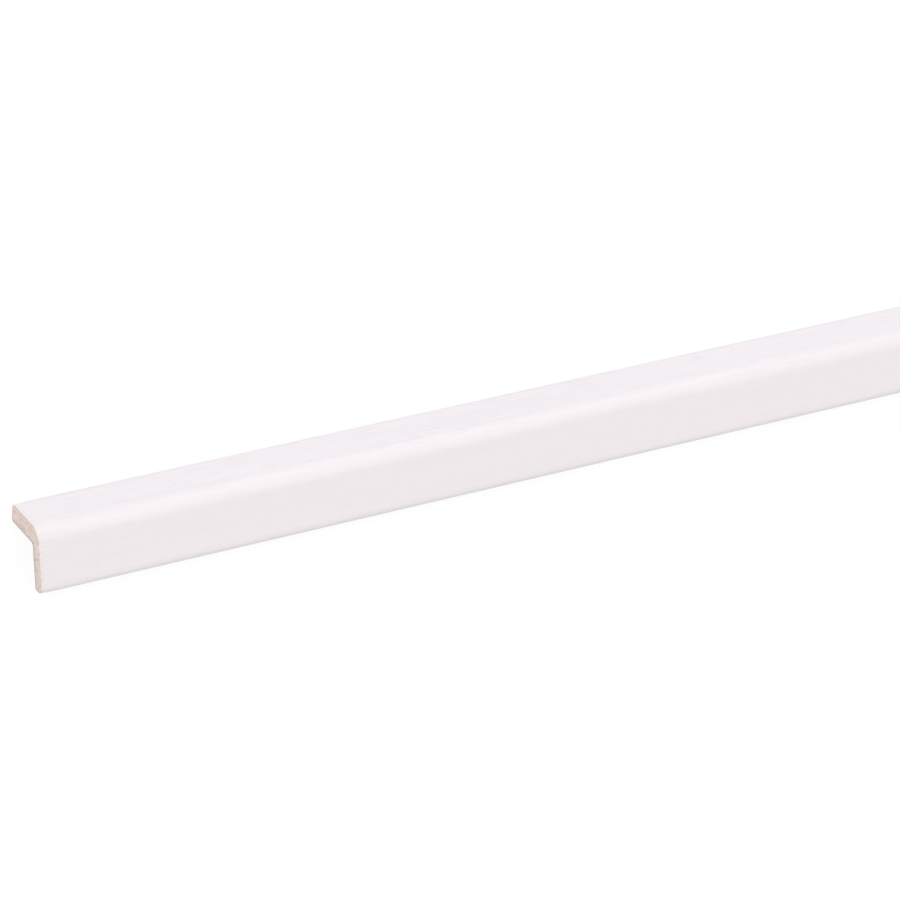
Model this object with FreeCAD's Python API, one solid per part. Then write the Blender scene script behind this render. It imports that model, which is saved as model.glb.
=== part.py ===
import FreeCAD, Part
import math
import os

# A corner guard moulding: one length of planed, painted wood with an L-shaped section.
# Two legs meet at a right angle, the back one a little thicker than the front one. The guard
# is fixed over the outside corner of a wall, so its two flat inner faces seat on the wall, and
# the rounded outer corner and the two outer faces are what shows.
# The part is one solid, in millimetres. X runs along the length, Y across it, and Z is up.
# It lies as it would on a floor: the rounded corner is a ridge on top, and the toes of the two
# legs stand on the floor. The origin is on the floor, under the middle of the length.

# Driving dimensions
length = 2400.0  # a stock length, sawn square at both ends
front_leg = 24.0  # outer width of the leg that slopes down towards -Y
back_leg = 24.0  # outer width of the leg that slopes down towards +Y
front_wall = 5.5  # thickness of the front leg
back_wall = 7.0  # thickness of the back leg
corner_radius = 4.75  # rounding of the outer corner, the edge that takes the knocks
toe_outer_radius = 2.5  # rounded edge of each toe on the outer, painted side
toe_inner_radius = 0.8  # eased edge of each toe on the side that meets the wall
root_radius = 0.8  # what the cutter leaves in the inner corner


def section_corners():
    """The corners of the L in the (y, z) plane, each with its rounding, in order round the outline.

    The section is drawn as it is fixed on a wall: the sharp outer corner would be at (0, 0), the
    back leg runs level towards +Y, and the front leg hangs towards -Z.
    """
    return [
        (0.0, 0.0, corner_radius),
        (back_leg, 0.0, toe_outer_radius),
        (back_leg, -back_wall, toe_inner_radius),
        (front_wall, -back_wall, root_radius),
        (front_wall, -front_leg, toe_inner_radius),
        (0.0, -front_leg, toe_outer_radius),
    ]


def rounding(before, corner, after, radius):
    """The arc of this radius that replaces a corner: its start, middle and end."""
    back = (before - corner).normalize()
    ahead = (after - corner).normalize()
    half_angle = back.getAngle(ahead) / 2
    middle_line = (back + ahead).normalize()
    tangent_length = radius / math.tan(half_angle)
    centre_distance = radius / math.sin(half_angle)
    return (
        corner + back * tangent_length,
        corner + middle_line * (centre_distance - radius),
        corner + ahead * tangent_length,
    )


def rounded_outline(corners):
    """A closed wire through the corners at x = 0, with each corner rounded by its own radius."""
    points = [FreeCAD.Vector(0, y, z) for y, z, radius in corners]
    count = len(corners)
    arcs = [
        rounding(points[i - 1], points[i], points[(i + 1) % count], corners[i][2])
        for i in range(count)
    ]
    edges = []
    for i in range(count):
        start, middle, end = arcs[i]
        next_start = arcs[(i + 1) % count][0]
        edges.append(Part.Arc(start, middle, end).toShape())
        edges.append(Part.LineSegment(end, next_start).toShape())
    return Part.Wire(edges)


def resting_turn():
    """The turn about X, in degrees, that sets both toes on the floor with the outer corner up."""
    return -math.degrees(math.atan2(front_leg - back_wall, back_leg - front_wall))


def corner_guard():
    """The moulding: the rounded section run along the length, then set down on its toes."""
    guard = Part.Face(rounded_outline(section_corners())).extrude(FreeCAD.Vector(length, 0, 0))
    guard.rotate(FreeCAD.Vector(0, 0, 0), FreeCAD.Vector(1, 0, 0), resting_turn())
    box = guard.optimalBoundingBox(False)
    guard.translate(FreeCAD.Vector(-length / 2, -box.Center.y, -box.ZMin))
    return guard


os.makedirs("parts", exist_ok=True)
corner_guard().exportStep("parts/corner_guard.step")
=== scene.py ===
import math
import random

import bmesh
import bpy
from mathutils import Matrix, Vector


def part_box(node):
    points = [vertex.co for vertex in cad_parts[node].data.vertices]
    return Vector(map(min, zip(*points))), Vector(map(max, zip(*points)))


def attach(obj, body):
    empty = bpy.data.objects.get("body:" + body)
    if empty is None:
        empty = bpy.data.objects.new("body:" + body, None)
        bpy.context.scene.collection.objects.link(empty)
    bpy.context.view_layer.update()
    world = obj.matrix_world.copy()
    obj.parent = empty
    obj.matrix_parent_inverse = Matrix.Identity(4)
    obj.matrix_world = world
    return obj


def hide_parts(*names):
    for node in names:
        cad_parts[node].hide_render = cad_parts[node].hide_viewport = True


# The looks of a corner guard moulding, over its CAD model. In metres, in the CAD model's frame:
# X runs along the length, Z is up through the rounded ridge, and both toes stand on the floor.
# The painted wood is modelled as its section is drawn, with the sharp outer corner at the origin,
# the back leg level towards +Y and the front leg hanging towards -Z, and is then set down.

bl_info = {
    "name": "Corner guard moulding",
    "version": (1, 0, 0),
    "blender": (4, 5, 0),
    "location": "3D View > Sidebar > Corner guard",
    "description": "Builds a painted wooden corner guard moulding, its stage and its camera",
    "category": "Object",
}

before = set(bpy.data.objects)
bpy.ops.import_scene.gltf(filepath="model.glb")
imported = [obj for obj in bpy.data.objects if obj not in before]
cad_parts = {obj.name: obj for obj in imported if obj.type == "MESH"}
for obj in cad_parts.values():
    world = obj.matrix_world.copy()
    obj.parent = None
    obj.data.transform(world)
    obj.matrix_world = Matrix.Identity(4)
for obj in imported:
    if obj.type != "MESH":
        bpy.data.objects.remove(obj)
CAD_NODE = "corner_guard"
CAD_LOW, CAD_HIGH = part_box(CAD_NODE)
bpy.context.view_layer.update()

MAP_NAME = "OFBake"
STRIP_HEIGHT = 0.75  # share of the map's height that the long faces take
NEAR_END, FAR_END = -1, 1  # the side of each sawn end along X
END_PLACES = {NEAR_END: (0.01, 0.765), FAR_END: (0.51, 0.765)}  # each sawn end's corner in the map
END_SCALE = 9.6  # of the sawn ends in the map, to a metre
CLOSE_TO_END = 0.008  # the part of the length that is spread out in the map
CLOSE_SHARE = 0.065  # the share of the map's width that this part takes

SAME_PLACE = 1e-6
FIT = 5e-5  # how far the painted wood may leave the CAD model's box
FACING = 0.9  # a face looks along an axis when its normal reaches this far along it
SAWN_FACING = 0.7  # the same for the uneven faces of a sawn end
SMOOTH_UNDER = math.radians(40)  # edges flatter than this are shaded smooth
CHIPS_ON_FRONT = 0.7  # share of the chips that are on the front leg
LEAST_CHIP = 0.5  # size of the smallest chip, as a share of the largest
LEAST_CHIP_DEPTH = 0.4  # depth of the shallowest chip, as a share of the deepest
FRONT_TOE_SHARE = 0.3  # wear of the front toe, as a share of the back toe's
KNOCK_SHARE = 1 / 3  # part of a worn toe's reach that is knocked in by the full amount
FIBRE_EVENNESS = 0.6  # how alike the depths of the torn fibres are

# Values of a noise between which each pattern goes from none to full
TONE_RANGE = (0.38, 0.60)
PORE_RANGE = (0.60, 0.72)
DASH_RANGE = (0.50, 0.70)
SOFT_RANGE = (0.30, 0.70)
SHOW_RANGE = (0.30, 0.90)
THIN_RANGE = (0.35, 0.70)
PATCH_RANGE = (0.42, 0.72)

# Distances between which one part of a look goes over into another, in metres
LEG_BORDER = (-0.004, 0.004)  # across the rounded corner, from the back leg's coat to the front leg's
LEG_SEAM = (0.0, 0.001)  # between the two legs on a sawn end
NEAR_HALF = (0.0, 0.1)  # from the middle of the length towards the near end
LINE_EDGE = (0.0001, 0.0006)  # on both sides of the dark line
SPOT_EDGE = (0.0003, 0.0011)  # round the dark spot
WALL_SIDE_EDGE = (0.0001, 0.0006)  # at the faces that meet the wall
LOWER_HALF_EDGE = (0.011, 0.016)  # down the front leg

# Patches of worn coat beside the cut: length along the moulding and width across it, in metres
THIN_PATCH = (0.0016, 0.0013)
SCRAPED_PATCH = (0.0011, 0.0011)
BARE_PATCH = (0.0012, 0.0009)

DEEP = 0.5  # how far the patterns of a sawn end run on into the wood, in metres
STREAKS_IN_TONE = 0.55  # what the streaks add to the sawn wood's tone, the mottling adding the rest
LINE_FULL = 4  # depth where the dark line shows in full, as a multiple of the depth where it starts
PATCH_FADE = 0.5  # share of a worn patch's width where it starts to fade


class GuardSizes(bpy.types.PropertyGroup):
    """The moulding's section and the fineness of its mesh."""

    length: bpy.props.FloatProperty(
        name="Length",
        description="From one sawn end to the other",
        default=CAD_HIGH.x - CAD_LOW.x,
        unit="LENGTH",
    )
    leg: bpy.props.FloatProperty(
        name="Leg", description="Outer width of each leg", default=0.024, unit="LENGTH"
    )
    front_wall: bpy.props.FloatProperty(
        name="Front wall", description="Thickness of the front leg", default=0.0055, unit="LENGTH"
    )
    back_wall: bpy.props.FloatProperty(
        name="Back wall", description="Thickness of the back leg", default=0.007, unit="LENGTH"
    )
    corner_radius: bpy.props.FloatProperty(
        name="Corner radius", description="Rounding of the outer corner", default=0.00475, unit="LENGTH"
    )
    toe_outer_radius: bpy.props.FloatProperty(
        name="Outer toe radius",
        description="Rounded edge of each toe on the painted side",
        default=0.0025,
        unit="LENGTH",
    )
    toe_inner_radius: bpy.props.FloatProperty(
        name="Inner toe radius",
        description="Eased edge of each toe on the side that meets the wall",
        default=0.0008,
        unit="LENGTH",
    )
    root_radius: bpy.props.FloatProperty(
        name="Root radius", description="Rounding of the inner corner", default=0.0008, unit="LENGTH"
    )
    corner_facets: bpy.props.IntProperty(
        name="Corner facets", description="Steps round the outer corner", default=20
    )
    toe_facets: bpy.props.IntProperty(name="Toe facets", description="Steps round each toe edge", default=8)
    end_grid: bpy.props.FloatProperty(
        name="End grid",
        description="Spacing of the mesh lines across the sawn ends",
        default=0.0005,
        unit="LENGTH",
    )
    end_ring: bpy.props.FloatProperty(
        name="First ring",
        description="Distance from a sawn end to the first mesh ring, each later gap being wider",
        default=0.0004,
        unit="LENGTH",
    )
    ring_growth: bpy.props.FloatProperty(
        name="Ring growth", description="How much wider each gap between rings is", default=1.22
    )
    widest_ring: bpy.props.FloatProperty(
        name="Widest ring gap",
        description="Spacing of the mesh rings along the middle of the length",
        default=0.040,
        unit="LENGTH",
    )


class SawnEnds(bpy.types.PropertyGroup):
    """What the saw and knocks did to the ends."""

    saw_mark: bpy.props.FloatProperty(
        name="Saw mark", description="Depth of the saw marks", default=0.00007, unit="LENGTH"
    )
    roughness_depth: bpy.props.FloatProperty(
        name="Torn fibres", description="Unevenness of the sawn wood", default=0.00006, unit="LENGTH"
    )
    chips: bpy.props.IntProperty(
        name="Chips", description="Small chips along the painted edge of the near end", default=14
    )
    chip_size: bpy.props.FloatProperty(
        name="Chip size", description="Reach of the largest chip", default=0.0011, unit="LENGTH"
    )
    chip_depth: bpy.props.FloatProperty(
        name="Chip depth", description="Depth of the largest chip", default=0.00035, unit="LENGTH"
    )
    toe_wear: bpy.props.FloatProperty(
        name="Toe wear",
        description="How far the back toe's corner is knocked in at the near end",
        default=0.00065,
        unit="LENGTH",
    )
    toe_wear_size: bpy.props.FloatProperty(
        name="Toe wear size",
        description="Reach of the wear on the toes' corners",
        default=0.004,
        unit="LENGTH",
    )
    seed: bpy.props.IntProperty(name="Seed", description="Where the marks and chips fall", default=7)


class EndGrain(bpy.types.PropertyGroup):
    """What shows in the bare wood of the ends."""

    streak_length: bpy.props.FloatProperty(
        name="Streak length",
        description="Length of the streaks along each leg",
        default=0.0060,
        unit="LENGTH",
    )
    streak_width: bpy.props.FloatProperty(
        name="Streak width", description="Width of the streaks", default=0.00055, unit="LENGTH"
    )
    mottling: bpy.props.FloatProperty(
        name="Mottling",
        description="Width of the paler and darker patches",
        default=0.0016,
        unit="LENGTH",
    )
    pore_length: bpy.props.FloatProperty(
        name="Pore length",
        description="Length of the dark pores along each leg",
        default=0.0013,
        unit="LENGTH",
    )
    pore_width: bpy.props.FloatProperty(
        name="Pore width", description="Width of the dark pores", default=0.00028, unit="LENGTH"
    )
    pore_shade: bpy.props.FloatProperty(
        name="Pore shade", description="How dark the pores are", default=0.20, subtype="FACTOR"
    )
    line_drop: bpy.props.FloatProperty(
        name="Dark line",
        description="Drop of the dark line across the front leg's end, where it would meet the front face",
        default=0.0105,
        unit="LENGTH",
    )
    line_slope: bpy.props.FloatProperty(
        name="Dark line's slope",
        description="How much lower the dark line is on the wall side",
        default=0.46,
    )
    line_from: bpy.props.FloatProperty(
        name="Dark line's start",
        description="Depth below the front face from which the dark line shows",
        default=0.0002,
        unit="LENGTH",
    )
    line_waver: bpy.props.FloatProperty(
        name="Dark line's waver",
        description="How far the dark line strays",
        default=0.0006,
        unit="LENGTH",
    )
    waver_size: bpy.props.FloatProperty(
        name="Waver size",
        description="Width of one stray of the dark line",
        default=0.002,
        unit="LENGTH",
    )
    line_shade: bpy.props.FloatProperty(
        name="Dark line's shade", description="How dark the line is", default=0.34, subtype="FACTOR"
    )
    spot_across: bpy.props.FloatProperty(
        name="Spot across",
        description="Place of the small dark spot across the back leg",
        default=0.0128,
        unit="LENGTH",
    )
    spot_drop: bpy.props.FloatProperty(
        name="Spot drop",
        description="Drop of the small dark spot below the back face",
        default=0.0046,
        unit="LENGTH",
    )
    spot_shade: bpy.props.FloatProperty(
        name="Spot shade", description="How dark the spot is", default=0.45, subtype="FACTOR"
    )
    # A greyer, darker edge on the sawn ends, widest along the wall side and the toes.
    grey_edge_reach: bpy.props.FloatProperty(
        name="Grey edge", description="Least width of the grey edge", default=0.0012, unit="LENGTH"
    )
    grey_edge_more: bpy.props.FloatProperty(
        name="Soiled patches",
        description="How much wider the grey edge is in places",
        default=0.0020,
        unit="LENGTH",
    )
    grey_edge_patch: bpy.props.FloatProperty(
        name="Grey edge patch", description="Width of one grey edge patch", default=0.0009, unit="LENGTH"
    )
    rim_reach: bpy.props.FloatProperty(
        name="Rim",
        description="Least width of the greyish rim under the coat",
        default=0.0003,
        unit="LENGTH",
    )
    rim_more: bpy.props.FloatProperty(
        name="Rim patches",
        description="How much wider the rim is in places",
        default=0.0006,
        unit="LENGTH",
    )
    rim_shade: bpy.props.FloatProperty(
        name="Rim shade", description="How grey the rim is", default=0.50, subtype="FACTOR"
    )
    saw_line_length: bpy.props.FloatProperty(
        name="Saw line length", description="Length of the fine saw lines", default=0.012, unit="LENGTH"
    )
    saw_line_width: bpy.props.FloatProperty(
        name="Saw line width", description="Width of the fine saw lines", default=0.0006, unit="LENGTH"
    )
    fibre_width: bpy.props.FloatProperty(
        name="Fibre width", description="Width of the cut fibres", default=0.0003, unit="LENGTH"
    )
    relief: bpy.props.FloatProperty(
        name="Relief",
        description="Height of the saw lines and of the fibres",
        default=0.00003,
        unit="LENGTH",
    )
    roughness: bpy.props.FloatProperty(
        name="Roughness", description="Roughness of the sawn wood", default=0.72, subtype="FACTOR"
    )
    uneven_roughness: bpy.props.FloatProperty(
        name="Uneven roughness",
        description="How much the roughness varies from fibre to fibre",
        default=0.25,
        subtype="FACTOR",
    )


class CoatPattern(bpy.types.PropertyGroup):
    """How the grain and the wear show in the coat."""

    dash_length: bpy.props.FloatProperty(
        name="Dash length",
        description="Length of the grain's fine dashes",
        default=0.012,
        unit="LENGTH",
    )
    dash_width: bpy.props.FloatProperty(
        name="Dash width", description="Width of the grain's fine dashes", default=0.0008, unit="LENGTH"
    )
    dash_shade: bpy.props.FloatProperty(
        name="Dash shade", description="How dark the dashes are", default=0.17, subtype="FACTOR"
    )
    streak_length: bpy.props.FloatProperty(
        name="Streak length",
        description="Length of the grain's broad streaks",
        default=0.120,
        unit="LENGTH",
    )
    streak_width: bpy.props.FloatProperty(
        name="Streak width",
        description="Width of the grain's broad streaks",
        default=0.0022,
        unit="LENGTH",
    )
    streak_shade: bpy.props.FloatProperty(
        name="Streak shade", description="How dark the streaks are", default=0.12, subtype="FACTOR"
    )
    flow_length: bpy.props.FloatProperty(
        name="Flow length", description="Length of the coat's unevenness", default=0.006, unit="LENGTH"
    )
    flow_width: bpy.props.FloatProperty(
        name="Flow width", description="Width of the coat's unevenness", default=0.003, unit="LENGTH"
    )
    flow_shade: bpy.props.FloatProperty(
        name="Flow shade", description="How dark the unevenness is", default=0.05, subtype="FACTOR"
    )
    # Painted shade: the coat is darkened where the rounded toes turn away from the light.
    toe_painted_shade: bpy.props.FloatProperty(
        name="Toe painted shade",
        description="How dark the coat is at the toes' edges",
        default=0.40,
        subtype="FACTOR",
    )
    toe_spread: bpy.props.FloatProperty(
        name="Toe painted shade's spread",
        description="Its width, as a multiple of the toe's rounding",
        default=1.6,
    )
    full_shade: bpy.props.FloatProperty(
        name="Full shade",
        description="Share of the coat's light that a shade of 1 takes away",
        default=0.20,
        subtype="FACTOR",
    )
    front_smoothness: bpy.props.FloatProperty(
        name="Front smoothness",
        description="How much less the grain shows on the front leg",
        default=0.62,
        subtype="FACTOR",
    )
    show_through: bpy.props.FloatProperty(
        name="Show-through",
        description="Wood seen through the coat on the wall side",
        default=0.12,
        subtype="FACTOR",
    )
    thin_reach: bpy.props.FloatProperty(
        name="Thin coat",
        description="Least width of the thin coat by the cut",
        default=0.0008,
        unit="LENGTH",
    )
    thin_more: bpy.props.FloatProperty(
        name="Thin patches",
        description="How much wider the thin coat is in places",
        default=0.0026,
        unit="LENGTH",
    )
    thin_share: bpy.props.FloatProperty(
        name="Thin coat's share",
        description="Wood seen through the thin coat",
        default=0.52,
        subtype="FACTOR",
    )
    scraped_reach: bpy.props.FloatProperty(
        name="Scraped edge",
        description="Least width of the scraped coat",
        default=0.00015,
        unit="LENGTH",
    )
    scraped_more: bpy.props.FloatProperty(
        name="Scraped patches",
        description="How much wider the scraped coat is in places",
        default=0.0026,
        unit="LENGTH",
    )
    scraped_share: bpy.props.FloatProperty(
        name="Scraped share",
        description="How much primer shows where the coat is scraped",
        default=0.7,
        subtype="FACTOR",
    )
    bare_reach: bpy.props.FloatProperty(
        name="Bare edge",
        description="Least width of the bare wood by the cut",
        default=0.00006,
        unit="LENGTH",
    )
    bare_more: bpy.props.FloatProperty(
        name="Bare patches",
        description="How much wider the bare wood is in places",
        default=0.0011,
        unit="LENGTH",
    )
    other_wear: bpy.props.FloatProperty(
        name="Wear elsewhere",
        description="Wear of the painted edge outside the front leg's lower half, as a share of its wear",
        default=0.2,
        subtype="FACTOR",
    )
    roughness: bpy.props.FloatProperty(
        name="Roughness", description="Roughness of the satin coat", default=0.38, subtype="FACTOR"
    )
    uneven_roughness: bpy.props.FloatProperty(
        name="Uneven roughness",
        description="How much rougher the coat is over the grain's dashes and in places",
        default=0.10,
        subtype="FACTOR",
    )
    wall_side_roughness: bpy.props.FloatProperty(
        name="Wall side's roughness",
        description="How much rougher the thin coat on the wall side is",
        default=0.22,
        subtype="FACTOR",
    )
    bare_roughness: bpy.props.FloatProperty(
        name="Bare roughness",
        description="Roughness of the bare wood by the cut",
        default=0.75,
        subtype="FACTOR",
    )
    streak_relief: bpy.props.FloatProperty(
        name="Streak relief", description="Height of the broad streaks", default=0.000008, unit="LENGTH"
    )
    flow_relief: bpy.props.FloatProperty(
        name="Flow relief",
        description="Height of the coat's unevenness",
        default=0.000004,
        unit="LENGTH",
    )
    dash_relief: bpy.props.FloatProperty(
        name="Dash relief", description="Depth of the fine dashes", default=0.000005, unit="LENGTH"
    )
    scraped_relief: bpy.props.FloatProperty(
        name="Scraped relief",
        description="Depth of the scraped patches",
        default=0.00002,
        unit="LENGTH",
    )
    bare_relief: bpy.props.FloatProperty(
        name="Bare relief", description="Depth of the bare patches", default=0.00006, unit="LENGTH"
    )


class GuardColours(bpy.types.PropertyGroup):
    """Colours of the coat and the wood, in linear light."""

    paint: bpy.props.FloatVectorProperty(
        name="Paint",
        description="Satin white coat on the back leg",
        subtype="COLOR",
        size=3,
        default=(0.938, 0.887, 0.917),
    )
    # Painted shade: a darker, pinker copy of the back leg's paint, standing in for the lesser light on the
    # front face.
    front_shaded_paint: bpy.props.FloatVectorProperty(
        name="Front shaded paint",
        description="The same coat on the front leg, a little warmer",
        subtype="COLOR",
        size=3,
        default=(0.925, 0.871, 0.884),
    )
    primer: bpy.props.FloatVectorProperty(
        name="Primer",
        description="Thin greyish coat at the cut",
        subtype="COLOR",
        size=3,
        default=(0.86, 0.84, 0.85),
    )
    pale_wood: bpy.props.FloatVectorProperty(
        name="Pale wood",
        description="Lighter part of the end grain",
        subtype="COLOR",
        size=3,
        default=(0.92, 0.79, 0.722),
    )
    deep_wood: bpy.props.FloatVectorProperty(
        name="Deep wood",
        description="Darker part of the end grain",
        subtype="COLOR",
        size=3,
        default=(0.755, 0.595, 0.522),
    )
    dark_wood: bpy.props.FloatVectorProperty(
        name="Dark wood",
        description="Pores, the dark line and the spot",
        subtype="COLOR",
        size=3,
        default=(0.36, 0.25, 0.21),
    )
    grey_edge_wood: bpy.props.FloatVectorProperty(
        name="Grey edge wood",
        description="Greyish edge of the end on the wall side",
        subtype="COLOR",
        size=3,
        default=(0.48, 0.45, 0.425),
    )


class Studio(bpy.types.PropertyGroup):
    """The floor, the light and the camera."""

    floor_size: bpy.props.FloatProperty(
        name="Floor size", description="Side of the square floor", default=400.0, unit="LENGTH"
    )
    floor_colour: bpy.props.FloatVectorProperty(
        name="Floor", description="Pale floor", subtype="COLOR", size=3, default=(0.62, 0.62, 0.62)
    )
    floor_glow: bpy.props.FloatProperty(
        name="Floor glow",
        description="Share of even white in what the camera sees of the floor",
        default=0.86,
    )
    glow_strength: bpy.props.FloatProperty(
        name="Glow strength",
        description="What brings the lit floor up to white in the picture",
        default=1.07,
    )
    dome_strength: bpy.props.FloatProperty(
        name="Dome", description="Strength of the even light from all round", default=0.894
    )
    lamp_strength: bpy.props.FloatProperty(
        name="Lamp", description="Strength of the large soft lamp", default=0.56
    )
    lamp_from: bpy.props.FloatVectorProperty(
        name="Lamp from",
        description="Direction that the lamp's light comes from",
        size=3,
        subtype="XYZ",
        default=(-0.60, 0.11, 0.80),
    )
    lamp_angle: bpy.props.FloatProperty(
        name="Lamp angle",
        description="How wide the lamp looks",
        default=math.radians(50),
        subtype="ANGLE",
    )
    camera_place: bpy.props.FloatVectorProperty(
        name="Camera place",
        description="Where the camera stands",
        size=3,
        unit="LENGTH",
        default=(-1.559497, -0.376016, 1.094697),
    )
    camera_turn: bpy.props.FloatVectorProperty(
        name="Camera turn",
        description="How the camera is turned",
        size=3,
        subtype="EULER",
        default=(math.radians(25.1040), math.radians(-17.6697), math.radians(-20.9272)),
    )
    lens: bpy.props.FloatProperty(
        name="Lens", description="Focal length in millimetres", default=146.279
    )
    sensor: bpy.props.FloatProperty(
        name="Sensor", description="Width of the sensor in millimetres", default=36.0
    )


class Value:
    """An output socket of a shader node. Python arithmetic on it adds the Math nodes."""

    def __init__(self, nodes, socket):
        self.nodes = nodes
        self.socket = socket

    def maths(self, operation, *terms):
        return self.nodes.node("ShaderNodeMath", {"operation": operation}, dict(enumerate(terms)))

    def __add__(self, other):
        return self.maths("ADD", self, other)

    def __radd__(self, other):
        return self.maths("ADD", other, self)

    def __sub__(self, other):
        return self.maths("SUBTRACT", self, other)

    def __rsub__(self, other):
        return self.maths("SUBTRACT", other, self)

    def __mul__(self, other):
        return self.maths("MULTIPLY", self, other)

    def __truediv__(self, other):
        return self.maths("DIVIDE", self, other)

    def __abs__(self):
        return self.maths("ABSOLUTE", self)

    def least(self, other):
        return self.maths("MINIMUM", self, other)

    def most(self, other):
        return self.maths("MAXIMUM", self, other)

    def rise(self, low, high):
        """0 up to low, 1 from high, with a soft step between them."""
        return self.nodes.node(
            "ShaderNodeMapRange",
            {"interpolation_type": "SMOOTHSTEP"},
            {"Value": self, "From Min": low, "From Max": high},
        )


class Nodes:
    """The node tree of one material or world, emptied first."""

    def __init__(self, owner):
        owner.use_nodes = True
        self.tree = owner.node_tree
        self.tree.nodes.clear()

    def node(self, kind, settings=None, inputs=None, output=0):
        """Adds a node, makes its settings, fills its inputs with values or links, and gives one output."""
        node = self.tree.nodes.new(kind)
        for name, setting in (settings or {}).items():
            setattr(node, name, setting)
        for name, value in (inputs or {}).items():
            if isinstance(value, Value):
                self.tree.links.new(value.socket, node.inputs[name])
            else:
                node.inputs[name].default_value = value
        return Value(self, node.outputs[output]) if node.outputs else None

    def mix(self, share, first, second):
        """A colour that goes from first to second as share goes from 0 to 1."""
        return self.node("ShaderNodeMix", {"data_type": "RGBA"}, {0: share, 6: first, 7: second}, 2)

    def place(self, *parts):
        """A place made of three values."""
        return self.node("ShaderNodeCombineXYZ", inputs=dict(enumerate(parts)))

    def noise(self, place, detail=2.0, roughness=0.5):
        """Cloudy values round 0.5, one cloud to a unit of the place."""
        return self.node(
            "ShaderNodeTexNoise",
            inputs={"Vector": place, "Scale": 1.0, "Detail": detail, "Roughness": roughness},
        )


BLACK = (0.0, 0.0, 0.0, 1.0)


def rgba(colour):
    return (*colour, 1.0)


def setting_down(sizes):
    """How the section lies on the floor: its turn about X, and the sharp corner's place across and up."""
    turn = math.atan2(sizes.leg - sizes.back_wall, sizes.leg - sizes.front_wall)
    across = sizes.leg * (math.sin(turn) - math.cos(turn)) / 2
    up = (sizes.leg - sizes.toe_inner_radius) * math.sin(turn)
    up += (sizes.back_wall - sizes.toe_inner_radius) * math.cos(turn) + sizes.toe_inner_radius
    return -turn, across, up


class SectionSpot:
    """The shaded point's place in the drawn section: along the length, across it and below its corner."""

    def __init__(self, nodes, sizes):
        turn, across, up = setting_down(sizes)
        cosine, sine = math.cos(-turn), math.sin(-turn)
        drawn = nodes.node(
            "ShaderNodeMapping",
            inputs={
                "Vector": nodes.node("ShaderNodeTexCoord", output="Object"),
                "Location": (0, up * sine - across * cosine, -across * sine - up * cosine),
                "Rotation": (-turn, 0, 0),
            },
        )
        self.nodes = nodes
        self.along, self.across, level = (
            nodes.node("ShaderNodeSeparateXYZ", inputs={"Vector": drawn}, output=axis) for axis in "XYZ"
        )
        self.drop = 0 - level
        self.depth = self.across.least(self.drop)  # in from the nearer outer face
        self.to_wall = (sizes.front_wall - self.across).most(sizes.back_wall - self.drop)
        self.reach = self.across.most(self.drop)  # along the leg, from the corner
        self.from_end = sizes.length / 2 - abs(self.along)

    def clouds(self, length, width, detail=2.0):
        """Noise whose clouds have this length along the moulding and this width across it."""
        place = self.nodes.place(self.along / length, self.across / width, self.drop / width)
        return self.nodes.noise(place, detail)

    def leg_clouds(self, length, width, detail=2.0, roughness=0.5):
        """Noise on a sawn end whose clouds have this length along each leg and this width through it."""
        place = self.nodes.place(self.along, self.reach / length, self.depth / width)
        return self.nodes.noise(place, detail, roughness)


def dark_marks(spot, grain):
    """The thin dark line across the front leg's end and the small dark spot on the back leg's."""
    waver = (spot.clouds(DEEP, grain.waver_size) - 0.5) * grain.line_waver
    line_gap = spot.drop - grain.line_drop - spot.across * grain.line_slope - waver
    line = 1 - abs(line_gap).rise(*LINE_EDGE)
    on_front_leg = (spot.drop - spot.across).rise(*LEG_SEAM)
    line_shown = spot.across.rise(grain.line_from, grain.line_from * LINE_FULL) * on_front_leg
    spot_gap = abs(spot.across - grain.spot_across) + abs(spot.drop - grain.spot_drop)
    dark_spot = 1 - spot_gap.rise(*SPOT_EDGE)
    at_near_end = (0 - spot.along).rise(*NEAR_HALF)
    return (line * line_shown * grain.line_shade).most(dark_spot * grain.spot_shade) * at_near_end


def grey_edges(spot, sizes, grain):
    """How far the sawn wood is turned greyer and darker at its edges: most along the wall side and the
    toes, less under the coat.
    """
    ragged = spot.clouds(DEEP, grain.grey_edge_patch, detail=3.0).rise(*SOFT_RANGE)
    from_wall_side = spot.to_wall.least(sizes.leg - spot.reach)
    grey_edge_reach = grain.grey_edge_reach + ragged * grain.grey_edge_more
    wall_edge = 1 - from_wall_side.rise(-sizes.toe_inner_radius, grey_edge_reach)
    rim = 1 - spot.depth.rise(0.0, grain.rim_reach + ragged * grain.rim_more)
    return wall_edge.most(rim * grain.rim_shade)


def wood_colour(spot, scene):
    """The sawn wood's colour: streaks along both legs, mottling, pores, dark marks and greyer edges."""
    grain, colours = scene.end_grain, scene.guard_colours
    nodes = spot.nodes
    streaks = spot.leg_clouds(grain.streak_length, grain.streak_width, detail=3.0, roughness=0.6)
    mottling = spot.clouds(DEEP, grain.mottling, detail=3.0)
    tone = (streaks * STREAKS_IN_TONE + mottling * (1 - STREAKS_IN_TONE)).rise(*TONE_RANGE)
    wood = nodes.mix(tone, rgba(colours.deep_wood), rgba(colours.pale_wood))
    pores = spot.leg_clouds(grain.pore_length, grain.pore_width, detail=1.0).rise(*PORE_RANGE)
    dark = dark_marks(spot, grain).most(pores * grain.pore_shade)
    wood = nodes.mix(dark, wood, rgba(colours.dark_wood))
    return nodes.mix(grey_edges(spot, scene.guard_sizes, grain), wood, rgba(colours.grey_edge_wood))


def finish_material(nodes, colour, roughness, height):
    """Links a colour, a roughness and a relief in metres to the surface."""
    relief = nodes.node("ShaderNodeBump", inputs={"Strength": 1.0, "Distance": 1.0, "Height": height})
    surface = nodes.node(
        "ShaderNodeBsdfPrincipled", inputs={"Base Color": colour, "Roughness": roughness, "Normal": relief}
    )
    nodes.node("ShaderNodeOutputMaterial", inputs={"Surface": surface})


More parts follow.
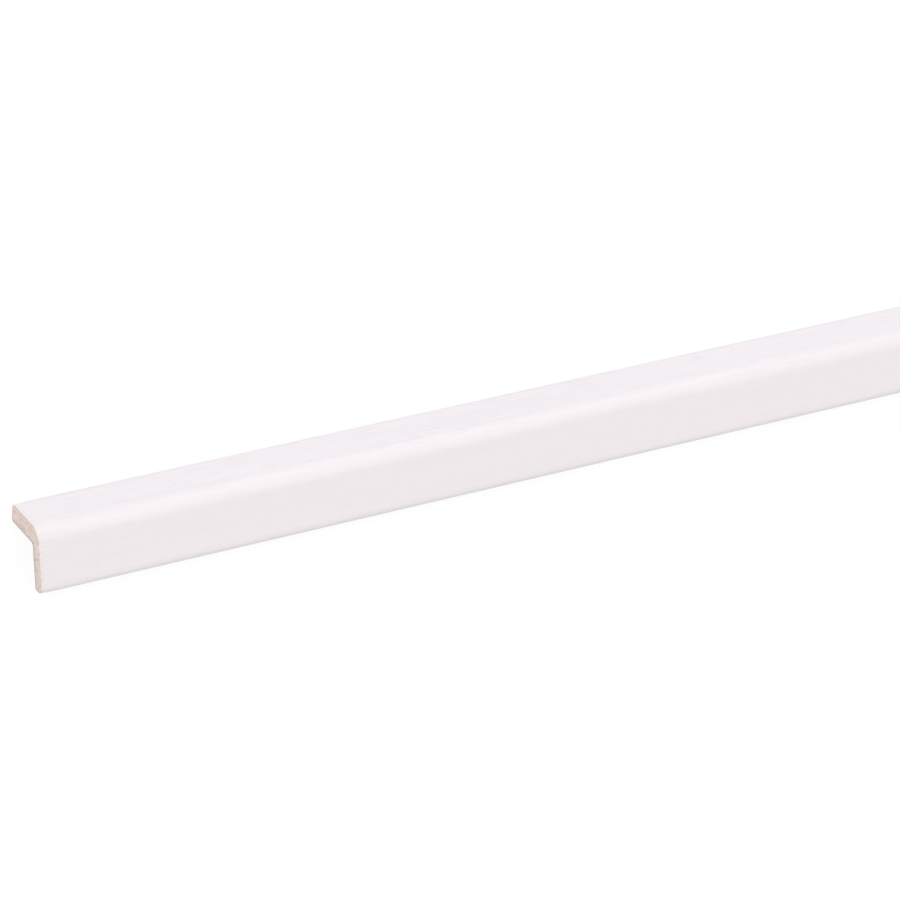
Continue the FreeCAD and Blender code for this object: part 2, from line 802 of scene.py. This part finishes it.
def sawn_wood(scene):
    """The bare wood of the sawn ends."""
    grain = scene.end_grain
    material = bpy.data.materials.new("sawn_wood")
    nodes = Nodes(material)
    spot = SectionSpot(nodes, scene.guard_sizes)
    across, drop = spot.across / grain.saw_line_length, spot.drop / grain.saw_line_width
    saw_lines = nodes.noise(nodes.place(spot.along, across, drop))
    fibres = spot.clouds(DEEP, grain.fibre_width)
    roughness = grain.roughness + (fibres - 0.5) * grain.uneven_roughness
    height = (saw_lines + fibres) * grain.relief
    finish_material(nodes, wood_colour(spot, scene), roughness, height)
    return material


def worn_by_the_cut(spot, coat, on_front):
    """How thin, scraped and bare the coat is beside a sawn end, most so on the front leg's lower half."""
    lower_half = on_front * spot.drop.rise(*LOWER_HALF_EDGE)
    wear = lower_half * (1 - coat.other_wear) + coat.other_wear
    thin_patches = spot.clouds(*THIN_PATCH, detail=3.0).rise(*THIN_RANGE)
    thin = 1 - spot.from_end.rise(0.0, coat.thin_reach + thin_patches * coat.thin_more)
    scraped_patches = spot.clouds(*SCRAPED_PATCH, detail=3.0).rise(*PATCH_RANGE) * wear
    scraped_reach = coat.scraped_reach + scraped_patches * coat.scraped_more
    scraped = 1 - spot.from_end.rise(scraped_reach * PATCH_FADE, scraped_reach)
    bare_patches = spot.clouds(*BARE_PATCH).rise(*PATCH_RANGE) * wear
    bare_reach = coat.bare_reach + bare_patches * coat.bare_more
    bare = 1 - spot.from_end.rise(bare_reach * PATCH_FADE, bare_reach)
    return thin, scraped, bare


def painted_coat(scene):
    """Satin white paint over planed wood, whose grain shows more on the back leg than on the front one."""
    sizes, coat, colours = scene.guard_sizes, scene.coat_pattern, scene.guard_colours
    material = bpy.data.materials.new("painted_coat")
    nodes = Nodes(material)
    spot = SectionSpot(nodes, sizes)

    on_front = (spot.drop - spot.across).rise(*LEG_BORDER)
    grain = 1 - on_front * coat.front_smoothness
    dashes = spot.clouds(coat.dash_length, coat.dash_width, detail=1.0).rise(*DASH_RANGE) * grain
    streaks = spot.clouds(coat.streak_length, coat.streak_width, detail=3.0).rise(*SOFT_RANGE) * grain
    flow = spot.clouds(coat.flow_length, coat.flow_width).rise(*SOFT_RANGE)
    # Painted shade: darker towards each toe's rounded edge, where the rounding turns from the light.
    toe_painted_shade_mask = ((spot.reach - sizes.leg) / (sizes.toe_outer_radius * coat.toe_spread) + 1).most(0)
    shade = dashes * coat.dash_shade + streaks * coat.streak_shade + flow * coat.flow_shade
    # The shade adds the painted shade at the toes to the grain's own darkening.
    shade = (shade + toe_painted_shade_mask * coat.toe_painted_shade) * coat.full_shade
    # Painted shade: the front leg takes the darker, pinker copy of the coat.
    paint_with_front_shade = nodes.mix(on_front, rgba(colours.paint), rgba(colours.front_shaded_paint))
    paint = nodes.mix(shade, paint_with_front_shade, BLACK)

    on_wall_side = 1 - spot.to_wall.rise(*WALL_SIDE_EDGE)
    show_through = on_wall_side * streaks.rise(*SHOW_RANGE) * coat.show_through
    thin, scraped, bare = worn_by_the_cut(spot, coat, on_front)
    colour = nodes.mix(show_through, paint, wood_colour(spot, scene))
    colour = nodes.mix(thin * coat.thin_share, colour, rgba(colours.pale_wood))
    colour = nodes.mix(scraped * coat.scraped_share, colour, rgba(colours.primer))
    colour = nodes.mix(bare, colour, rgba(colours.pale_wood))

    sheen = coat.roughness + (dashes + flow - 0.5) * coat.uneven_roughness
    sheen = sheen + on_wall_side * coat.wall_side_roughness
    roughness = sheen + (coat.bare_roughness - sheen) * bare
    hollows = dashes * coat.dash_relief + scraped * coat.scraped_relief + bare * coat.bare_relief
    height = streaks * coat.streak_relief + flow * coat.flow_relief - hollows
    finish_material(nodes, colour, roughness, height)
    return material


def choose(piece, part, test):
    """In edit mode, selects only the vertices, edges or faces of the piece that pass the test."""
    bpy.ops.mesh.select_mode(type=part)
    bpy.ops.mesh.select_all(action="DESELECT")
    mesh = bmesh.from_edit_mesh(piece.data)
    for item in {"VERT": mesh.verts, "EDGE": mesh.edges, "FACE": mesh.faces}[part]:
        item.select_set(test(item))
    mesh.select_flush_mode()
    bmesh.update_edit_mesh(piece.data)


def near(first, second):
    return abs(first - second) < SAME_PLACE


def round_edges(piece, places, radius, facets):
    """Rounds the edges that run along the length at these places (across, up) of the section."""

    def is_one(edge):
        first, second = (vertex.co for vertex in edge.verts)
        lengthwise = near(first.y, second.y) and near(first.z, second.z)
        return lengthwise and any(near(first.y, across) and near(first.z, up) for across, up in places)

    choose(piece, "EDGE", is_one)
    bpy.ops.mesh.bevel(
        offset_type="OFFSET",
        offset=radius,
        segments=facets,
        profile=0.5,
        affect="EDGES",
        clamp_overlap=False,
    )


def l_shaped_bar(sizes):
    """The square corner of the section along the whole length, with both legs drawn out of it."""
    front_wall, back_wall = sizes.front_wall, sizes.back_wall
    bpy.ops.object.select_all(action="DESELECT")
    bpy.ops.mesh.primitive_cube_add(
        size=1,
        location=(0, front_wall / 2, -back_wall / 2),
        scale=(sizes.length, front_wall, back_wall),
    )
    bar = bpy.context.object
    bar.name = "painted_guard"
    bar.data.name = "painted_guard"
    bpy.ops.object.transform_apply(location=True, rotation=True, scale=True)
    bpy.ops.object.mode_set(mode="EDIT")
    choose(bar, "FACE", lambda face: face.normal.y > FACING)
    bpy.ops.mesh.extrude_region_move(TRANSFORM_OT_translate={"value": (0, sizes.leg - front_wall, 0)})
    choose(bar, "FACE", lambda face: face.normal.z < -FACING and face.calc_center_median().y < front_wall)
    bpy.ops.mesh.extrude_region_move(TRANSFORM_OT_translate={"value": (0, 0, back_wall - sizes.leg)})
    return bar


def ease_edges(bar, sizes):
    """Gives each long edge its rounding."""
    leg, front_wall, back_wall = sizes.leg, sizes.front_wall, sizes.back_wall
    round_edges(bar, [(0, 0)], sizes.corner_radius, sizes.corner_facets)
    round_edges(bar, [(leg, 0), (0, -leg)], sizes.toe_outer_radius, sizes.toe_facets)
    round_edges(bar, [(leg, -back_wall), (front_wall, -leg)], sizes.toe_inner_radius, sizes.toe_facets)
    round_edges(bar, [(front_wall, -back_wall)], sizes.root_radius, sizes.toe_facets)


def slice_mesh(place, normal):
    """Adds mesh lines where a plane cuts the whole piece."""
    bpy.ops.mesh.select_all(action="SELECT")
    bpy.ops.mesh.bisect(plane_co=place, plane_no=normal, threshold=SAME_PLACE)


def ring_places(sizes):
    """Distances from the middle to the mesh rings: close at the sawn ends, and wide between them."""
    gap = sizes.end_ring
    at = sizes.length / 2 - gap
    places = []
    while gap < sizes.widest_ring:
        places.append(at)
        gap *= sizes.ring_growth
        at -= gap
    steps = math.ceil(at / sizes.widest_ring)
    return places + [at * step / steps for step in range(1, steps + 1)]


def add_mesh_lines(sizes):
    """Lays a grid over the sawn ends, which runs on along the faces, and rings round the length."""
    for step in range(int(sizes.leg / sizes.end_grid)):
        at = (step + 0.5) * sizes.end_grid
        slice_mesh((0, at, 0), (0, 1, 0))
        slice_mesh((0, 0, -at), (0, 0, 1))
    for at in ring_places(sizes):
        slice_mesh((at, 0, 0), (1, 0, 0))
        slice_mesh((-at, 0, 0), (1, 0, 0))


def roughen_sawn_end(bar, side, sizes, ends, chance):
    """Saw marks across both legs, then torn fibres, and nothing beyond the plane of the cut."""
    end = side * sizes.length / 2
    rows = int(sizes.leg / sizes.end_grid)
    for row in range(rows):
        low = -(row + 1) * sizes.end_grid
        high = low + sizes.end_grid
        choose(bar, "VERT", lambda v: near(v.co.x, end) and low <= v.co.z < high)
        depth = chance.uniform(0.0, ends.saw_mark)
        bpy.ops.transform.translate(value=(-side * depth, 0, 0))
    choose(bar, "VERT", lambda v: all(side * face.normal.x > SAWN_FACING for face in v.link_faces))
    seed = chance.randrange(1000)
    bpy.ops.transform.vertex_random(
        offset=ends.roughness_depth, uniform=FIBRE_EVENNESS, normal=1.0, seed=seed
    )
    choose(bar, "VERT", lambda v: side * v.co.x > side * end)
    bpy.ops.transform.resize(value=(0, 1, 1), center_override=(end, 0, 0))


def chip_sawn_edge(bar, side, sizes, ends, chance):
    """Knocks small chips out of the painted edge of a sawn end, most of them on the front leg."""
    end = side * sizes.length / 2
    for _ in range(ends.chips):
        size = ends.chip_size * chance.uniform(LEAST_CHIP, 1.0)
        depth = ends.chip_depth * chance.uniform(LEAST_CHIP_DEPTH, 1.0)
        on_front = chance.random() < CHIPS_ON_FRONT
        reach = chance.uniform(sizes.corner_radius, sizes.leg - sizes.toe_outer_radius)
        at = Vector((end, 0, -reach)) if on_front else Vector((end, reach, 0))
        inwards = Vector((-side, 1, 0)) if on_front else Vector((-side, 0, -1))
        choose(bar, "VERT", lambda v: (v.co - at).length < size / 2)
        bpy.ops.transform.translate(
            value=inwards.normalized() * depth,
            use_proportional_edit=True,
            proportional_edit_falloff="SMOOTH",
            proportional_size=size,
        )


def wear_toes(bar, side, sizes, ends):
    """Knocks in the painted corner of both toes at a sawn end."""
    end = side * sizes.length / 2
    low = sizes.toe_outer_radius / 2
    for at, inwards in (
        (Vector((end, sizes.leg, -low)), Vector((0, -1, 0))),
        (Vector((end, low, -sizes.leg)), Vector((0, 0, FRONT_TOE_SHARE))),
    ):
        choose(bar, "VERT", lambda v: (v.co - at).length < ends.toe_wear_size * KNOCK_SHARE)
        bpy.ops.transform.translate(
            value=inwards * ends.toe_wear,
            use_proportional_edit=True,
            proportional_edit_falloff="SMOOTH",
            proportional_size=ends.toe_wear_size,
        )


def bare_the_ends(bar, sizes, coat, wood):
    """Gives the piece its two materials: the sawn ends are bare wood."""
    bar.data.materials.append(coat)
    bar.data.materials.append(wood)
    choose(bar, "FACE", lambda face: abs(face.normal.x) > SAWN_FACING)
    bar.active_material_index = 1
    bpy.ops.object.material_slot_assign()


def strip_place(at, face_middle, sizes):
    """Where a vertex lies in the map's strip, which runs round the section from the inner corner."""
    leg, front_wall, back_wall = sizes.leg, sizes.front_wall, sizes.back_wall
    from_front, from_back = face_middle.y - front_wall, -face_middle.z - back_wall
    on_front_leg = from_back > from_front
    inner = face_middle.y > front_wall / 2 if on_front_leg else -face_middle.z > back_wall / 2
    corner_at = 2 * leg - front_wall + back_wall
    across, drop = at.y, -at.z
    if inner:
        round_section = across - front_wall + back_wall - drop + (4 * leg if on_front_leg else 0)
    elif face_middle.y > leg / 2:
        round_section = corner_at - across - drop
    elif -face_middle.z > leg / 2:
        round_section = corner_at + across + drop
    else:
        round_section = corner_at - across + drop
    half_length = sizes.length / 2
    from_end = half_length - abs(at.x)
    if from_end < CLOSE_TO_END:
        u = CLOSE_SHARE * from_end / CLOSE_TO_END
    else:
        towards_middle = (from_end - CLOSE_TO_END) / (half_length - CLOSE_TO_END)
        u = CLOSE_SHARE + (0.5 - CLOSE_SHARE) * towards_middle
    return (u if at.x < 0 else 1 - u, STRIP_HEIGHT * round_section / (4 * leg))


def lay_out_flat(bar, sizes):
    """Gives the piece its own map: a strip of the long faces, spread out near the ends, and both ends."""
    mesh = bar.data
    flat = mesh.uv_layers.new(name=MAP_NAME)
    for face in mesh.polygons:
        side = FAR_END if face.center.x > 0 else NEAR_END
        for corner in face.loop_indices:
            at = mesh.vertices[mesh.loops[corner].vertex_index].co
            if face.material_index:
                u, v = END_PLACES[side]
                flat.data[corner].uv = (u + at.y * END_SCALE, v - at.z * END_SCALE)
            else:
                flat.data[corner].uv = strip_place(at, face.center, sizes)


def set_down(bar, sizes):
    """Turns the piece from the drawn section to its place on the floor, and applies that place."""
    turn, across, up = setting_down(sizes)
    middle_of_length = (CAD_LOW.x + CAD_HIGH.x) / 2
    bar.rotation_euler = (turn, 0, 0)
    bar.location = (middle_of_length, across, up)
    bpy.ops.object.transform_apply(location=True, rotation=True, scale=True)


def check_fit(bar):
    """Stops the script if the piece leaves the CAD model's box."""
    for axis in range(3):
        places = [v.co[axis] for v in bar.data.vertices]
        if min(places) < CAD_LOW[axis] - FIT or max(places) > CAD_HIGH[axis] + FIT:
            raise RuntimeError(f"the painted wood leaves the CAD model's box along axis {axis}")


def seen_directly(nodes):
    """1 for what the camera sees, also reflected or through glass, and 0 for what lights the object."""
    camera = nodes.node("ShaderNodeLightPath", output="Is Camera Ray")
    glossy = nodes.node("ShaderNodeLightPath", output="Is Glossy Ray")
    clear = nodes.node("ShaderNodeLightPath", output="Is Transmission Ray")
    return camera.most(glossy).most(clear)


def pale_floor(studio):
    """A matt pale floor that shows white where it is fully lit and keeps the object's shadow."""
    material = bpy.data.materials.new("pale_floor")
    nodes = Nodes(material)
    matt = nodes.node("ShaderNodeBsdfDiffuse", inputs={"Color": rgba(studio.floor_colour)})
    glow = nodes.node("ShaderNodeEmission", inputs={"Strength": studio.glow_strength})
    share = seen_directly(nodes) * studio.floor_glow
    surface = nodes.node("ShaderNodeMixShader", inputs={0: share, 1: matt, 2: glow})
    nodes.node("ShaderNodeOutputMaterial", inputs={"Surface": surface})
    return material


def even_dome(studio):
    """A white sky for the camera, and even light from all round for the object."""
    world = bpy.data.worlds.new("even_dome")
    nodes = Nodes(world)
    lighting = nodes.node(
        "ShaderNodeBackground", inputs={"Color": (1, 1, 1, 1), "Strength": studio.dome_strength}
    )
    white = nodes.node("ShaderNodeBackground", inputs={"Color": (1, 1, 1, 1), "Strength": 1.0})
    surface = nodes.node("ShaderNodeMixShader", inputs={0: seen_directly(nodes), 1: lighting, 2: white})
    nodes.node("ShaderNodeOutputWorld", inputs={"Surface": surface})
    return world


class GUARD_OT_camera(bpy.types.Operator):
    """Place the camera at the picture's viewing angle"""

    bl_idname = "guard.camera"
    bl_label = "Place the camera"

    def execute(self, context):
        studio = context.scene.studio
        bpy.ops.object.camera_add(location=studio.camera_place, rotation=studio.camera_turn)
        camera = context.object
        camera.name = "picture_camera"
        camera.data.lens = studio.lens
        camera.data.sensor_width = studio.sensor
        camera.data.clip_end = studio.floor_size
        context.scene.camera = camera
        return {"FINISHED"}


class GUARD_OT_moulding(bpy.types.Operator):
    """Model the painted moulding and put it in the CAD model's place"""

    bl_idname = "guard.moulding"
    bl_label = "Build the moulding"

    def execute(self, context):
        scene = context.scene
        sizes, ends = scene.guard_sizes, scene.sawn_ends
        chance = random.Random(ends.seed)
        bar = l_shaped_bar(sizes)
        ease_edges(bar, sizes)
        add_mesh_lines(sizes)
        for side in (NEAR_END, FAR_END):
            roughen_sawn_end(bar, side, sizes, ends, chance)
        chip_sawn_edge(bar, NEAR_END, sizes, ends, chance)
        wear_toes(bar, NEAR_END, sizes, ends)
        bare_the_ends(bar, sizes, painted_coat(scene), sawn_wood(scene))
        bpy.ops.object.mode_set(mode="OBJECT")
        bpy.ops.object.shade_smooth_by_angle(angle=SMOOTH_UNDER)
        lay_out_flat(bar, sizes)
        set_down(bar, sizes)
        check_fit(bar)
        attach(bar, "root")
        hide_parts(CAD_NODE)
        return {"FINISHED"}


class GUARD_OT_stage(bpy.types.Operator):
    """Lay the pale floor and set the soft light"""

    bl_idname = "guard.stage"
    bl_label = "Set the stage"

    def execute(self, context):
        studio = context.scene.studio
        bpy.ops.mesh.primitive_plane_add(size=studio.floor_size)
        floor = context.object
        floor.name = "pale_floor"
        floor.data.materials.append(pale_floor(studio))
        toward_lamp = Vector(studio.lamp_from)
        bpy.ops.object.light_add(type="SUN", rotation=toward_lamp.to_track_quat("Z", "Y").to_euler())
        lamp = context.object
        lamp.name = "large_soft_lamp"
        lamp.data.energy = studio.lamp_strength
        lamp.data.angle = studio.lamp_angle
        context.scene.world = even_dome(studio)
        context.scene.view_settings.view_transform = "Standard"
        return {"FINISHED"}


class GUARD_PT_panel(bpy.types.Panel):
    """Lists the moulding's settings and steps"""

    bl_idname = "GUARD_PT_panel"
    bl_label = "Corner guard"
    bl_space_type = "VIEW_3D"
    bl_region_type = "UI"
    bl_category = "Corner guard"

    def draw(self, context):
        for group_name in GROUPS:
            group = getattr(context.scene, group_name)
            box = self.layout.box()
            box.label(text=group_name.replace("_", " ").capitalize())
            for setting in group.__annotations__:
                box.prop(group, setting)
        for step in STEPS:
            self.layout.operator(step.bl_idname)


GROUPS = {
    "guard_sizes": GuardSizes,
    "sawn_ends": SawnEnds,
    "end_grain": EndGrain,
    "coat_pattern": CoatPattern,
    "guard_colours": GuardColours,
    "studio": Studio,
}
STEPS = (GUARD_OT_camera, GUARD_OT_moulding, GUARD_OT_stage)


def register():
    for group_name, group in GROUPS.items():
        bpy.utils.register_class(group)
        setattr(bpy.types.Scene, group_name, bpy.props.PointerProperty(type=group))
    for step in STEPS:
        bpy.utils.register_class(step)
    bpy.utils.register_class(GUARD_PT_panel)


def unregister():
    bpy.utils.unregister_class(GUARD_PT_panel)
    for step in reversed(STEPS):
        bpy.utils.unregister_class(step)
    for group_name, group in reversed(GROUPS.items()):
        delattr(bpy.types.Scene, group_name)
        bpy.utils.unregister_class(group)


def main():
    register()
    bpy.ops.guard.camera()
    bpy.ops.guard.moulding()
    bpy.ops.guard.stage()


if __name__ == "__main__":
    main()
